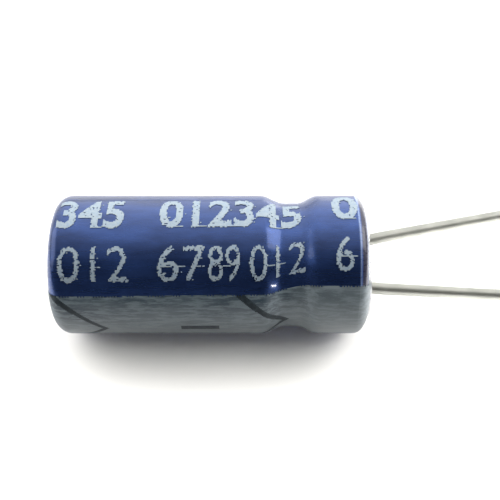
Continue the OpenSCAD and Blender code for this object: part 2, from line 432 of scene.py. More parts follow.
@dataclass(frozen=True)
class StripeFinish:
    """Grey-green print of the polarity stripe, with fine streaks along the can; painted light
    makes it paler low down and on the ridge, and it pales towards the rim.
    """

    pale: Colour = (0.136, 0.176, 0.196)
    dark: Colour = (0.018, 0.040, 0.060)
    rubbed_and_lit: Colour = (0.25, 0.28, 0.285)
    streak: Triple = (1.2, 6.5, 6.5)
    streaked: Ramp = ((0.45, 1.0), (0.57, 0.0))
    cloud: Triple = (0.5, 1.6, 1.6)
    kept: Ramp = ((0.3, 1.0), (0.75, 0.45))
    # the stripe on the ridge is painted paler: partly rubbed wear, partly a painted highlight
    ridge_wear_and_sheen: float = 0.5
    # painted light: the stripe is painted paler towards its lower edge, for the light the table
    # throws up on it
    low_painted_light: Ramp = ((-1.3, 0.7), (0.3, 0.0))
    # paler towards the rim end
    rim_paling: Ramp = ((-3.2, 0.0), (-1.6, 0.3))
    roughness: Ramp = ((0.3, 0.38), (0.7, 0.52))
    coat: float = 0.35
    coat_roughness: float = 0.18
    relief: float = 0.004

    def material(self) -> bpy.types.Material:
        """Returns the material of the stripe."""
        shader = Shader("streaked_stripe_ink")
        streaks = shader.noise(self.streak, 5, 0.70)
        kept = shader.ramp(shader.noise(self.cloud, 3), *self.kept)
        share = shader.math("MULTIPLY", shader.ramp(streaks, *self.streaked), kept)
        ink = shader.blend(share, self.pale, self.dark)
        ridge = shader.math("MULTIPLY", shader.band(*RIDGE), self.ridge_wear_and_sheen)
        # painted light low down, painted highlight and wear on the ridge, and paling towards the
        # rim
        low = shader.ramp(shader.along("Z"), *self.low_painted_light)
        rim = shader.ramp(shader.along(), *self.rim_paling)
        wear_and_light = shader.math("MAXIMUM", ridge, shader.math("ADD", low, rim))
        shader.surface(
            Base_Color=shader.blend(wear_and_light, ink, self.rubbed_and_lit),
            Roughness=shader.ramp(streaks, *self.roughness),
            Coat_Weight=self.coat,
            Coat_Roughness=self.coat_roughness,
            Normal=shader.bump(streaks, self.relief),
        )
        return shader.material


@dataclass(frozen=True)
class CountFinish:
    """Pale print of the count rows, thin enough for the film to show through in places."""

    pale: Colour = (0.24, 0.29, 0.325)
    thin: Colour = (0.19, 0.25, 0.32)
    speck: Triple = (11, 11, 11)
    specked: Ramp = ((0.42, 1.0), (0.6, 0.0))
    cloud: Triple = (2.2, 2.2, 2.2)
    clouded: Ramp = ((0.35, 1.0), (0.65, 0.3))
    roughness: float = 0.5
    coat: float = 0.1
    coat_roughness: float = 0.2

    def material(self) -> bpy.types.Material:
        """Returns the material of the count rows."""
        shader = Shader("worn_count_ink")
        specks = shader.ramp(shader.noise(self.speck, 2), *self.specked)
        clouds = shader.ramp(shader.noise(self.cloud, 2), *self.clouded)
        share = shader.math("MULTIPLY", specks, clouds)
        shader.surface(
            Base_Color=shader.blend(share, self.pale, self.thin),
            Roughness=self.roughness,
            Coat_Weight=self.coat,
            Coat_Roughness=self.coat_roughness,
        )
        return shader.material


@dataclass(frozen=True)
class MetalFinish:
    """A bare metal with drawn or etched texture and duller patches."""

    name: str
    colour: Colour
    roughness: Point
    grain: Triple
    relief: float
    bright: float = 1.0
    patches: Triple = (0.9, 0.9, 0.9)
    patched: Ramp = ((0.35, 0.0), (0.7, 1.0))
    dull: float = 0.78

    def material(self) -> bpy.types.Material:
        """Returns the material of the metal."""
        shader = Shader(self.name)
        grain = shader.noise(self.grain, 4, 0.6)
        patches = shader.ramp(shader.noise(self.patches, 3), *self.patched)
        dull = tuple(self.dull * value for value in self.colour)
        smooth, rough = self.roughness
        shader.surface(
            Base_Color=shader.blend(patches, self.colour, dull),
            Metallic=self.bright,
            Roughness=shader.ramp(grain, (0.3, smooth), (0.7, rough)),
            Normal=shader.bump(grain, self.relief),
        )
        return shader.material


@dataclass(frozen=True)
class SoftFinish:
    """A dull surface such as rubber, paper, tape or a dark sheet of painted shade, with speckle
    and grain.
    """

    name: str
    colour: Colour
    speckle: Colour
    roughness: float
    grain: Triple
    relief: float
    coat: float = 0.0
    coat_roughness: float = 0.2
    specular: float = 0.5
    speckled: Ramp = ((0.45, 0.0), (0.68, 1.0))

    def material(self) -> bpy.types.Material:
        """Returns the material of the soft surface."""
        shader = Shader(self.name)
        grain = shader.noise(self.grain, 4, 0.65)
        share = shader.ramp(grain, *self.speckled)
        shader.surface(
            Base_Color=shader.blend(share, self.colour, self.speckle),
            Roughness=self.roughness,
            Specular_IOR_Level=self.specular,
            Coat_Weight=self.coat,
            Coat_Roughness=self.coat_roughness,
            Normal=shader.bump(grain, self.relief),
        )
        return shader.material


# Finishes: name, colours, roughness, grain and depth of relief in millimetres
DRAWN_CAN = MetalFinish("drawn_can", (0.60, 0.61, 0.62), (0.26, 0.44), (1.2, 14, 14), 0.003)
ANODE = MetalFinish("etched_anode", (0.56, 0.56, 0.53), (0.6, 0.8), (9, 9, 9), 0.004)
CATHODE = MetalFinish("etched_cathode", (0.70, 0.70, 0.70), (0.5, 0.7), (9, 9, 9), 0.003)
TAB_METAL = MetalFinish("tab_metal", (0.74, 0.76, 0.78), (0.3, 0.45), (1.5, 10, 10), 0.003)
TIN = MetalFinish(
    "tinned_wire", (0.52, 0.52, 0.47), (0.44, 0.54), (0.7, 9, 9), 0.003, bright=0.95
)
WIRE_CORE = MetalFinish("cut_wire_core", (0.62, 0.42, 0.30), (0.35, 0.5), (14, 14, 14), 0.003)
RUBBER = SoftFinish(
    "moulded_rubber", (0.045, 0.045, 0.05), (0.085, 0.083, 0.08), 0.62, (7, 7, 7), 0.006
)
PAPER = SoftFinish(
    "soaked_paper", (0.74, 0.63, 0.44), (0.62, 0.50, 0.32), 0.7, (3, 12, 12), 0.004, coat=0.3
)
# painted shade: a near-black sheet fills the stripe's gaps, where the film lies in shade
GAP_SHADE = SoftFinish(
    "painted_gap_shade", (0.010, 0.018, 0.025), (0.030, 0.044, 0.054), 0.5, (6, 6, 6), 0.002,
    specular=0.25,
)
TAPE = SoftFinish(
    "roll_tape", (0.70, 0.55, 0.26), (0.60, 0.45, 0.18), 0.4, (6, 2, 2), 0.002, coat=0.5
)


@dataclass
class Bench:
    """Edit-mode tools that act on one piece at a time and give it its name."""

    name: str
    merged: float = 1e-5

    def clear(self) -> None:
        """Leaves edit mode and deselects everything."""
        if bpy.context.mode != "OBJECT":
            bpy.ops.object.mode_set(mode="OBJECT")
        bpy.ops.object.select_all(action="DESELECT")

    def take(self) -> bpy.types.Object:
        """Names the piece that was just added and opens it for editing.

        Returns:
            The piece, in edit mode with all of it selected.
        """
        piece = bpy.context.object
        piece.name = piece.data.name = self.name
        bpy.ops.object.mode_set(mode="EDIT")
        bpy.ops.mesh.select_all(action="SELECT")
        return piece

    def ring(self, centre: Vector, radius: float, sides: int) -> bpy.types.Object:
        """Adds a ring of edges that faces along X.

        Args:
            centre: Its centre.
            radius: Its radius.
            sides: Number of its edges.

        Returns:
            The piece, in edit mode.
        """
        self.clear()
        bpy.ops.mesh.primitive_circle_add(
            vertices=sides, radius=radius, location=centre, rotation=(0, math.pi / 2, 0)
        )
        bpy.ops.object.transform_apply(location=True, rotation=True, scale=True)
        return self.take()

    def outline(self, points: Sequence[Point]) -> bpy.types.Object:
        """Draws an open outline in the plane of X and Z.

        Args:
            points: Its points as (x, radius).

        Returns:
            The piece, in edit mode.
        """
        self.clear()
        x, r = points[0]
        bpy.ops.mesh.primitive_plane_add(size=1, location=(x, 0, r))
        bpy.ops.object.transform_apply(location=True, rotation=True, scale=True)
        piece = self.take()
        bpy.ops.mesh.merge(type="CENTER")
        for (x0, r0), (x1, r1) in zip(points, points[1:]):
            bpy.ops.mesh.extrude_vertices_move(
                TRANSFORM_OT_translate={"value": (x1 - x0, 0, r1 - r0)}
            )
        return piece

    def turn(self, steps: int) -> None:
        """Spins the open outline once round the X axis and closes it.

        Args:
            steps: Number of steps of the turn.
        """
        bpy.ops.mesh.select_all(action="SELECT")
        bpy.ops.mesh.spin(steps=steps, angle=2 * math.pi, center=(0, 0, 0), axis=(1, 0, 0))
        bpy.ops.mesh.select_all(action="SELECT")
        bpy.ops.mesh.remove_doubles(threshold=self.merged)
        bpy.ops.mesh.normals_make_consistent(inside=False)

    def choose(self, piece: bpy.types.Object, keep: Callable[[Vector], bool]) -> int:
        """Selects faces of the piece by their place.

        Args:
            piece: The piece in edit mode.
            keep: Takes a face's centre and says whether to select the face.

        Returns:
            The number of faces selected.
        """
        bpy.ops.mesh.select_mode(type="FACE")
        bpy.ops.mesh.select_all(action="DESELECT")
        mesh = bmesh.from_edit_mesh(piece.data)
        count = 0
        for face in mesh.faces:
            face.select = keep(face.calc_center_median())
            count += face.select
        mesh.select_flush_mode()
        bmesh.update_edit_mesh(piece.data)
        return count

    def modify(self, piece: bpy.types.Object, kind: str, **values: object) -> None:
        """Adds a modifier and applies it.

        Args:
            piece: The piece in object mode.
            kind: Type of the modifier.
            **values: Its settings.
        """
        modifier = piece.modifiers.new(kind.lower(), kind)
        for key, value in values.items():
            setattr(modifier, key, value)
        bpy.context.view_layer.objects.active = piece
        bpy.ops.object.modifier_apply(modifier=modifier.name)

    def close(
        self,
        piece: bpy.types.Object,
        slot: Slot,
        materials: Sequence[bpy.types.Material],
        replaced: Sequence[Node] = (),
        smooth: float = 40.0,
    ) -> bpy.types.Object:
        """Finishes a piece: scale to metres, smooth shading, material and body.

        Args:
            piece: The finished piece, in millimetres.
            slot: The record's slot that its finish belongs to; not used.
            materials: Its materials, in slot order.
            replaced: The frame's solids that it stands for.
            smooth: Angle above which an edge stays sharp, in degrees.

        Returns:
            The piece.
        """
        self.clear()
        piece.select_set(True)
        bpy.context.view_layer.objects.active = piece
        piece.data.transform(Matrix.Scale(MM, 4))
        bpy.ops.object.shade_smooth_by_angle(angle=math.radians(smooth))
        chosen = [polygon.material_index for polygon in piece.data.polygons]
        piece.data.materials.clear()
        for material in materials:
            piece.data.materials.append(material)
        piece.data.polygons.foreach_set("material_index", chosen)
        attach(piece, BODY)
        for node in replaced:
            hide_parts(node.value)
        log.info("%s: %d faces", piece.name, len(piece.data.polygons))
        return piece


@dataclass
class FilmProfile:
    """Outer face of the shrunk film, as an outline from the closed end to the lip.

    A point of the outline is (x, radius). Distances along it are counted so that they equal x on
    the long straight wall, between the closed end and the groove.
    """

    can_l: float
    can_r: float
    film_r: float
    open_r: float = 1.75
    corner_r: float = 0.42
    curl_r: float = 0.3
    curl_turn: float = 62.0
    lip_reach: float = 0.20
    lip_spare: float = 0.12
    groove_x: float = -2.63
    groove_depth: float = 0.285
    groove_floor: float = 0.5
    groove_back: float = 0.88
    groove_front: float = 0.76
    face_steps: int = 6
    corner_steps: int = 12
    wall_steps: int = 40
    groove_steps: int = 34
    rim_steps: int = 8
    lip_steps: int = 6
    wall_share: float = 0.7
    points: list[Point] = field(init=False)
    along: list[float] = field(init=False)

    def __post_init__(self) -> None:
        """Works out the outline's points and their distances along it."""
        self.points = self.outline()
        self.along = self.distances()

    @property
    def outside(self) -> float:
        """Returns the distance of the film's outer face from the can."""
        return self.film_r - self.can_r

    @property
    def groove_start(self) -> float:
        """Returns where the groove starts along the axis."""
        return self.groove_x - self.groove_floor / 2 - self.groove_back

    @property
    def groove_end(self) -> float:
        """Returns where the groove ends along the axis."""
        return self.groove_x + self.groove_floor / 2 + self.groove_front

    def dip(self, x: float) -> float:
        """Returns the depth of the groove at x."""
        back = ease((x - self.groove_start) / self.groove_back)
        return self.groove_depth * back * ease((self.groove_end - x) / self.groove_front)

    def arc(self, x: float, size: float, first: float, last: float, steps: int) -> list[Point]:
        """Points of an arc whose angles count from the radius towards +X.

        Args:
            x: Place of its centre along the axis.
            size: Radius of the arc, whose outermost point lies on the wall.
            first: Angle where it starts, in degrees.
            last: Angle where it ends, in degrees.
            steps: Number of its steps.

        Returns:
            The points.
        """
        centre = self.film_r - size
        turns = [math.radians(angle) for angle in spread(first, last, steps)]
        return [(x + size * math.sin(turn), centre + size * math.cos(turn)) for turn in turns]

    def outline(self) -> list[Point]:
        """Returns the outline's points from the opening at the closed end to the lip's edge."""
        left = -self.can_l - self.outside
        corner = self.corner_r + self.outside
        heights = spread(self.open_r, self.film_r - corner, self.face_steps)
        bend = self.arc(-self.can_l + self.corner_r, corner, -90, 0, self.corner_steps)
        wall = spread(bend[-1][0], self.groove_start, self.wall_steps)
        groove = spread(self.groove_start, self.groove_end, self.groove_steps)
        curl_size = self.curl_r + self.outside
        curl = self.arc(-self.curl_r, curl_size, 0, self.curl_turn, 2 * self.corner_steps)
        rim = spread(self.groove_end, curl[0][0], self.rim_steps)
        return (
            [(left, height) for height in heights[:-1]]
            + bend
            + [(x, self.film_r) for x in wall[1:-1]]
            + [(x, self.film_r - self.dip(x)) for x in groove]
            + [(x, self.film_r) for x in rim[1:-1]]
            + curl
            + self.lip(*curl[-1])
        )

    def lip(self, x: float, r: float) -> list[Point]:
        """Points of the straight lip, which reaches a little past the cut.

        Args:
            x: Place of the curl's end along the axis.
            r: Its radius.

        Returns:
            The points past the curl's end.
        """
        turn = math.radians(self.curl_turn)
        length = (self.lip_reach + self.lip_spare - x) / math.cos(turn)
        runs = spread(0, length, self.lip_steps)[1:]
        return [(x + run * math.cos(turn), r - run * math.sin(turn)) for run in runs]

    def distances(self) -> list[float]:
        """Returns each point's distance along the outline."""
        total = [0.0]
        for (x0, r0), (x1, r1) in zip(self.points, self.points[1:]):
            total.append(total[-1] + math.hypot(x1 - x0, r1 - r0))
        on_wall = -self.wall_share * self.can_l
        middle = next(i for i, (x, _) in enumerate(self.points) if x > on_wall)
        shift = self.points[middle][0] - total[middle]
        return [value + shift for value in total]

    def at(self, s: float) -> tuple[float, float, float, float]:
        """Finds the place at a distance along the outline.

        Args:
            s: The distance.

        Returns:
            x, radius, and the x and radius parts of the outward normal.
        """
        last = len(self.along) - 2
        i = min(last, max(0, sum(1 for value in self.along if value <= s) - 1))
        (x0, r0), (x1, r1) = self.points[i], self.points[i + 1]
        size = self.along[i + 1] - self.along[i]
        t = (s - self.along[i]) / size
        nx, nr = -(r1 - r0) / size, (x1 - x0) / size
        return x0 + (x1 - x0) * t, r0 + (r1 - r0) * t, nx, nr


@dataclass
class FilmTwist:
    """Turn of the print round the can, where shrinking pulled the film."""

    turn: float = 7.5
    start: float = -3.6
    end: float = -1.6
    drift: float = 1.6
    drift_start: float = -11.5
    drift_l: float = 7.5

    def at(self, s: float) -> float:
        """Returns the twist in degrees at a distance along the film."""
        pulled = self.turn * ease((s - self.start) / (self.end - self.start))
        return pulled + self.drift * ease((s - self.drift_start) / self.drift_l) - self.drift


@dataclass
class SleeveFilm:
    """The blue film: one turned skin with a slanted lip, given its thickness inwards."""

    profile: FilmProfile
    thickness: float = 0.12
    steps: int = 216
    slant: float = 2.5
    long_side: float = 40.0
    unevenness: float = 0.006
    swell_wave: Triple = (0.5, 0.8, 0.8)
    sag: float = 0.6
    creased: Point = (-3.9, -1.2)
    crease_fade: float = 0.5
    crease_wave: Triple = (0.4, 2.6, 2.6)
    crease_share: float = 0.5
    ridge_x: float = -0.235
    ridge_w: float = 0.04
    ridge_h: float = 0.012
    rag_start: float = 0.08
    rag_fade: float = 0.08
    raggedness: float = 0.02
    rag_wave: Triple = (0.12, 0, 0)
    fray: float = 0.3
    fray_wave: Triple = (1, 0, 0)
    nick: Triple = (70.5, 1.8, 0.05)

    def build(self) -> bpy.types.Object:
        """Models and dresses the film.

        Returns:
            The finished piece.
        """
        bench = Bench("sleeve_film")
        piece = bench.outline(self.profile.points)
        bench.turn(self.steps)
        self.trim()
        bpy.ops.object.mode_set(mode="OBJECT")
        self.settle(piece)
        bench.modify(
            piece,
            "SOLIDIFY",
            thickness=self.thickness,
            offset=-1.0,
            use_rim=True,
            material_offset_rim=1,
            use_quality_normals=True,
        )
        finishes = [FilmFinish().material(), CutEdgeFinish().material()]
        return bench.close(piece, Slot.FILM, finishes, [Node.SLEEVE])

    def trim(self) -> None:
        """Cuts the lip off along a slanted plane."""
        side = math.radians(self.long_side)
        tilt = math.radians(self.slant)
        towards = Vector((0, -math.cos(side), -math.sin(side)))
        normal = Vector((math.cos(tilt), 0, 0)) - towards * math.sin(tilt)
        bpy.ops.mesh.select_all(action="SELECT")
        bpy.ops.mesh.bisect(
            plane_co=(self.profile.lip_reach, 0, 0), plane_no=normal, clear_outer=True
        )

    def settle(self, piece: bpy.types.Object) -> None:
        """Moves the skin's points a little, as film settles on a can.

        Args:
            piece: The skin in object mode.
        """
        first, last = self.creased
        for vertex in piece.data.vertices:
            x, y, z = vertex.co
            r = math.hypot(y, z)
            swell = self.unevenness * (ripple((x, y, z), self.swell_wave, Seed.SWELL) - self.sag)
            crease = ease((x - first) / self.crease_fade) * ease((last - x) / self.crease_fade)
            folds = ripple((x, y, z), self.crease_wave, Seed.CREASE)
            swell += self.crease_share * self.unevenness * crease * folds
            swell += self.ridge_h * math.exp(-(((x - self.ridge_x) / self.ridge_w) ** 2))
            factor = (r + swell) / r
            vertex.co.y, vertex.co.z = y * factor, z * factor
            vertex.co.x += self.rag(x, math.degrees(math.atan2(z, -y)))

    def rag(self, x: float, angle: float) -> float:
        """Returns how far the lip's cut edge strays along the axis.

        Args:
            x: Place along the axis.
            angle: Angle round the can, in degrees.

        Returns:
            The shift along the axis, 0 away from the lip.
        """
        at_edge = ease((x - self.rag_start) / self.rag_fade)
        middle, width, depth = self.nick
        nick = -depth * math.exp(-(((angle - middle) / width) ** 2))
        wave = ripple((angle, 0, 0), self.rag_wave, Seed.LIP_WAVE)
        fray = self.fray * abs(ripple((angle, 0, 0), self.fray_wave, Seed.LIP_FRAY))
        return at_edge * (nick + self.raggedness * (wave - fray))


@dataclass
class FilmPrint:
    """A field of dots on a flat grid, wrapped on the film: ink, and a sheet of painted shade."""

    name: str
    profile: FilmProfile
    twist: FilmTwist
    finish: StripeFinish | CountFinish | SoftFinish
    start: float
    end: float
    low: float
    high: float
    dot: float = 0.05
    thickness: float = 0.012
    lift: float = 0.004

    def build(
        self, inked: Callable[[float, float], bool], replaced: Sequence[Node] = ()
    ) -> bpy.types.Object:
        """Models and dresses the print.

        Args:
            inked: Takes a distance along the film and an angle in degrees, and says whether
                the piece covers that place.
            replaced: The frame's solids that the print stands for.

        Returns:
            The finished piece.
        """
        bench = Bench(self.name)
        bench.clear()
        arc = math.radians(self.high - self.low) * self.profile.film_r
        columns = round((self.end - self.start) / self.dot)
        rows = round(arc / self.dot)
        bpy.ops.mesh.primitive_grid_add(x_subdivisions=columns, y_subdivisions=rows, size=1)
        piece = bench.take()
        width = self.end - self.start
        bare = bench.choose(
            piece,
            lambda place: not inked(
                self.start + (place.x + 0.5) * width,
                self.low + (place.y + 0.5) * (self.high - self.low),
            ),
        )
        if bare:
            bpy.ops.mesh.delete(type="FACE")
        bpy.ops.object.mode_set(mode="OBJECT")
        self.wrap(piece, width)
        bench.modify(
            piece, "SOLIDIFY", thickness=self.thickness, offset=1.0, use_even_offset=False
        )
        return bench.close(piece, Slot.INK, [self.finish.material()], replaced, smooth=30.0)

    def wrap(self, piece: bpy.types.Object, width: float) -> None:
        """Bends the flat grid on to the film.

        Args:
            piece: The flat piece in object mode.
            width: Its length along the film.
        """
        cache: dict[float, tuple[float, float, float, float, float]] = {}
        for vertex in piece.data.vertices:
            s = self.start + (vertex.co.x + 0.5) * width
            key = round(s, 5)
            if key not in cache:
                cache[key] = (*self.profile.at(s), self.twist.at(s))
            x, r, nx, nr, twist = cache[key]
            angle = self.low + (vertex.co.y + 0.5) * (self.high - self.low) + twist
            radius = r + self.lift * nr
            a = math.radians(angle)
            vertex.co = (x + self.lift * nx, -radius * math.cos(a), radius * math.sin(a))


@dataclass
class PolarityPrint:
    """The grey stripe with its minus bar and two chevrons left clear, filled with a dark sheet of
    painted shade.
    """

    profile: FilmProfile
    twist: FilmTwist
    middle: float = -11.0
    angle: float = 74.0
    start: float = -11.7
    end: float = 0.42
    bar_x: float = -5.98
    bar_l: float = 1.41
    bar_w: float = 0.28
    chevron_xs: tuple[float, float] = (-2.67, -9.34)
    arm: float = 0.26
    widening: float = 0.35
    widens_from: float = 0.5
    tooth: float = 0.11
    tooth_depth: float = 0.9
    tooth_stray: float = 0.6
    tooth_wave: Triple = (3, 0, 0)
    spare: float = 1.5

    def build(self) -> bpy.types.Object:
        """Models and dresses the stripe and the dark sheet of painted shade in its gaps.

        Returns:
            The stripe.
        """
        # painted shade: a near-black sheet in the bar and chevrons
        gap_shade = self.sheet("polarity_gap_shade", GAP_SHADE)
        gap_shade.build(lambda s, angle: self.in_stripe(s, angle) and self.on_mark(s, angle))
        stripe = self.sheet("polarity_print", StripeFinish())
        return stripe.build(
            lambda s, angle: self.in_stripe(s, angle) and not self.on_mark(s, angle),
            [Node.STRIPE],
        )

    def sheet(self, name: str, finish: StripeFinish | SoftFinish) -> FilmPrint:
        """Lays out a print over the stripe's whole field.

        Args:
            name: Name of the print.
            finish: Its finish.

        Returns:
            The print, not built yet.
        """
        low, high = self.middle - self.angle / 2, self.middle + self.angle / 2
        return FilmPrint(
            name, self.profile, self.twist, finish, self.start, self.end, low, high + self.spare
        )

    def in_stripe(self, s: float, angle: float) -> bool:
        """Says whether a place lies below the stripe's toothed upper edge.

        Args:
            s: Distance along the film.
            angle: Angle round the can, in degrees.

        Returns:
            True in the stripe's field.
        """
        return angle <= self.middle + self.angle / 2 + self.teeth(s)

    def on_mark(self, s: float, angle: float) -> bool:
        """Says whether a place lies on the minus bar or a chevron.

        Args:
            s: Distance along the film.
            angle: Angle round the can, in degrees.

        Returns:
            True on a mark.
        """
        height = math.radians(angle - self.middle) * self.profile.film_r
        if abs(s - self.bar_x) < self.bar_l / 2 and abs(height) < self.bar_w / 2:
            return True
        return any(self.on_arm(s, height, x) for x in self.chevron_xs)

    def teeth(self, s: float) -> float:
        """Returns how far the ragged upper edge lies above its mean, in degrees."""
        saw = abs((s / self.tooth) % 1.0 - 0.5) * 2
        stray = self.tooth_stray * ripple((s, 0, 0), self.tooth_wave, Seed.TEETH)
        return self.tooth_depth * (saw - 0.5 + stray)

    def on_arm(self, s: float, height: float, point: float) -> bool:
        """Says whether a place lies on an arm of a chevron that points along the film.

        Args:
            s: Distance along the film.
            height: Distance across the stripe from its middle.
            point: Distance along the film of the chevron's point.

        Returns:
            True on either arm.
        """
        reach = self.arm * (1.0 + self.widening * ease(height - self.widens_from))
        return abs(s - (point - reach / 2 - abs(height))) < reach / 2


class Row(Enum):
    """The two rows of plain numbers: the bold one near the top and the thin one below it."""

    BOLD = "bold_count"
    THIN = "thin_count"


@dataclass(frozen=True)
class Group:
    """A few numbers that stand together in a row, by their start and length along the film."""

    digits: str
    start: float
    length: float


@dataclass
class CountRow:
    """A row of plain numbers in pale print, with short tails and specks where ink ran."""

    row: Row
    profile: FilmProfile
    twist: FilmTwist
    groups: tuple[Group, ...]
    low: float
    high: float
    weight: float
    rough: float
    bare: float
    tail_height: float
    bare_wave: Triple = (14, 0.9, 0)
    rough_wave: Triple = (9, 0.6, 0)
    smear_wave: Triple = (11, 0.7, 0)
    smear_over: float = 0.62
    smear_l: float = 0.12
    tail_wave: Triple = (1.3, 0, 0)
    tail_w: float = 0.02
    tail_runs: tuple[float, ...] = (0.1, 0.2, 0.3)
    margin: float = 0.2
    spare: float = 2.0
    limits: Point = (-11.35, 0.05)
    dot: float = 0.04

    def build(self) -> bpy.types.Object:
        """Models and dresses the row.

        Returns:
            The finished piece.
        """
        plan = self.plan()
        first = min(group.start for group in self.groups) - self.margin
        last = max(group.start + group.length for group in self.groups) + self.margin
        sheet = FilmPrint(
            self.row.value, self.profile, self.twist, CountFinish(),
            start=max(first, self.limits[0]),
            end=min(last, self.limits[1]),
            low=self.low - self.spare,
            high=self.high + self.spare,
            dot=self.dot,
        )
        piece = sheet.build(lambda s, angle: self.inked(plan, s, angle))
        bpy.data.objects.remove(plan, do_unlink=True)
        return piece

    def plan(self) -> bpy.types.Object:
        """Sets the numbers flat, as a mesh in the plane of the row.

        Returns:
            One flat mesh, 1 mm high at the full height of a number.
        """
        parts = []
        for group in self.groups:
            bpy.ops.object.select_all(action="DESELECT")
            bpy.ops.object.text_add(location=(0, 0, 0))
            letters = bpy.context.object
            letters.data.body = group.digits
            letters.data.offset = self.weight
            bpy.ops.object.convert(target="MESH")
            flat = bpy.context.object
            xs = [vertex.co.x for vertex in flat.data.vertices]
            ys = [vertex.co.y for vertex in flat.data.vertices]
            wide, tall = max(xs) - min(xs), max(ys) - min(ys)
            fit = Matrix.Diagonal((group.length / wide, 1 / tall, 1, 1))
            flat.data.transform(Matrix.Translation((-min(xs), -min(ys), 0)))
            flat.data.transform(Matrix.Translation((group.start, 0, 0)) @ fit)
            parts.append(flat)
        bpy.ops.object.select_all(action="DESELECT")
        for part in parts:
            part.select_set(True)
        bpy.context.view_layer.objects.active = parts[0]
        bpy.ops.object.join()
        return bpy.context.object

    def inked(self, plan: bpy.types.Object, s: float, angle: float) -> bool:
        """Says whether the row has ink at a place.

        Args:
            plan: The flat numbers.
            s: Distance along the film.
            angle: Angle round the can, in degrees.

        Returns:
            True where there is ink.
        """
        height = (angle - self.low) / (self.high - self.low)
        place = (s, angle, 0)
        if ripple(place, self.bare_wave, Seed.BARE) > self.bare:
            return False
        jitter = self.rough * ripple(place, self.rough_wave, Seed.JITTER)
        if self.hit(plan, s + 0.5 * jitter, height + 0.6 * jitter):
            return True
        smeared = ripple(place, self.smear_wave, Seed.SMEAR) > self.smear_over
        if smeared and self.hit(plan, s - self.smear_l, height):
            return True
        at_tail = abs(height - self.tail_height) < self.tail_w
        ran = at_tail and ripple(place, self.tail_wave, Seed.TAIL) > 0.0
        return ran and any(self.hit(plan, s - run, height) for run in self.tail_runs)

    @staticmethod
    def hit(plan: bpy.types.Object, s: float, height: float) -> bool:
        """Says whether the flat numbers cover a place."""
        return plan.ray_cast(Vector((s, height, 1)), Vector((0, 0, -1)))[0]


@dataclass
class TinnedWire:
    """One lead: a stub out of the bung, a bend, a short straight, a kink and a long straight."""

    node: Node
    sides: int = 32
    bend_r: float = 0.8
    first_l: float = 0.8
    kink: float = 3.0
    stub_x: float = 0.05
    hidden_x: float = -0.38
    tip_chamfer: float = 0.03
    tip_share: float = 0.86
    bend_steps: int = 8
    long_steps: int = 12
    flat: float = 0.9
    core_reach: float = 0.1

    def build(self) -> bpy.types.Object:
        """Models and dresses the lead.

        Returns:
            The finished piece.
        """
        mount = next(m for m in frame["record"]["mounts"] if m["name"] == self.node.value)
        middle = in_mm(Vector(mount["pos_m"]))
        axis = Vector(mount["axis"]).normalized()
        radius, length = mount["dims"]["r_mm"], mount["dims"]["length_mm"]
        bend = math.degrees(math.acos(axis.x))
        lean = math.atan2(axis.z, axis.y)
        bench = Bench(self.node.value + "_wire")
        piece = bench.ring(Vector((self.hidden_x, 0, 0)), radius, self.sides)
        bpy.ops.mesh.edge_face_add()
        self.draw(Vector((self.stub_x - self.hidden_x, 0, 0)))
        turned = bend + self.kink
        self.bend(Vector((self.stub_x, self.bend_r, 0)), turned)
        first = self.heading(turned)
        self.draw(first * self.first_l)
        side, rise = math.sin(math.radians(turned)), 1 - math.cos(math.radians(turned))
        bend_end = Vector((self.stub_x + self.bend_r * side, self.bend_r * rise, 0))
        joint = bend_end + first * self.first_l
        self.straighten(joint)
        last = self.heading(bend)
        for _ in range(self.long_steps):
            self.draw(last * (length - self.tip_chamfer) / self.long_steps)
        self.draw(last * self.tip_chamfer)
        bpy.ops.transform.resize(value=(self.tip_share,) * 3)
        bpy.ops.mesh.select_all(action="SELECT")
        bpy.ops.mesh.normals_make_consistent(inside=False)
        bpy.ops.object.mode_set(mode="OBJECT")
        self.mark_core(piece, joint + last * length, last)
        base = middle - Matrix.Rotation(lean, 3, "X") @ (joint + last * length / 2)
        piece.data.transform(Matrix.Translation(base) @ Matrix.Rotation(lean, 4, "X"))
        return bench.close(piece, Slot.WIRE, [TIN.material(), WIRE_CORE.material()], [self.node])

    def heading(self, degrees: float) -> Vector:
        """Returns the direction that a turn leads to from +X."""
        return Vector((math.cos(math.radians(degrees)), math.sin(math.radians(degrees)), 0))

    def draw(self, run: Vector) -> None:
        """Extrudes the selected end straight on by a run."""
        bpy.ops.mesh.extrude_region_move(TRANSFORM_OT_translate={"value": run})

    def bend(self, centre: Vector, degrees: float) -> None:
        """Spins the selected end round a centre.

        Args:
            centre: Centre of the bend.
            degrees: Angle of the bend.
        """
        bpy.ops.mesh.spin(
            steps=self.bend_steps,
            angle=-math.radians(degrees),
            center=centre,
            axis=(0, 0, 1),
            use_normal_flip=False,
        )

    def straighten(self, joint: Vector) -> None:
        """Turns the selected end back by the kink.

        Args:
            joint: Place of the kink.
        """
        turned = Matrix.Translation(joint) @ Matrix.Rotation(-math.radians(self.kink), 4, "Z")
        mesh = bmesh.from_edit_mesh(bpy.context.object.data)
        for vertex in mesh.verts:
            if vertex.select:
                vertex.co = turned @ Matrix.Translation(-joint) @ vertex.co
        bmesh.update_edit_mesh(bpy.context.object.data)

    def mark_core(self, piece: bpy.types.Object, tip: Vector, heading: Vector) -> None:
        """Gives the cut end the colour of the wire's core.

        Args:
            piece: The wire in object mode.
            tip: Middle of the cut end.
            heading: Direction in which the wire ends.
        """
        for polygon in piece.data.polygons:
            facing = polygon.normal.dot(heading) > self.flat
            at_tip = (polygon.center - tip).length < self.core_reach
            polygon.material_index = int(facing and at_tip)


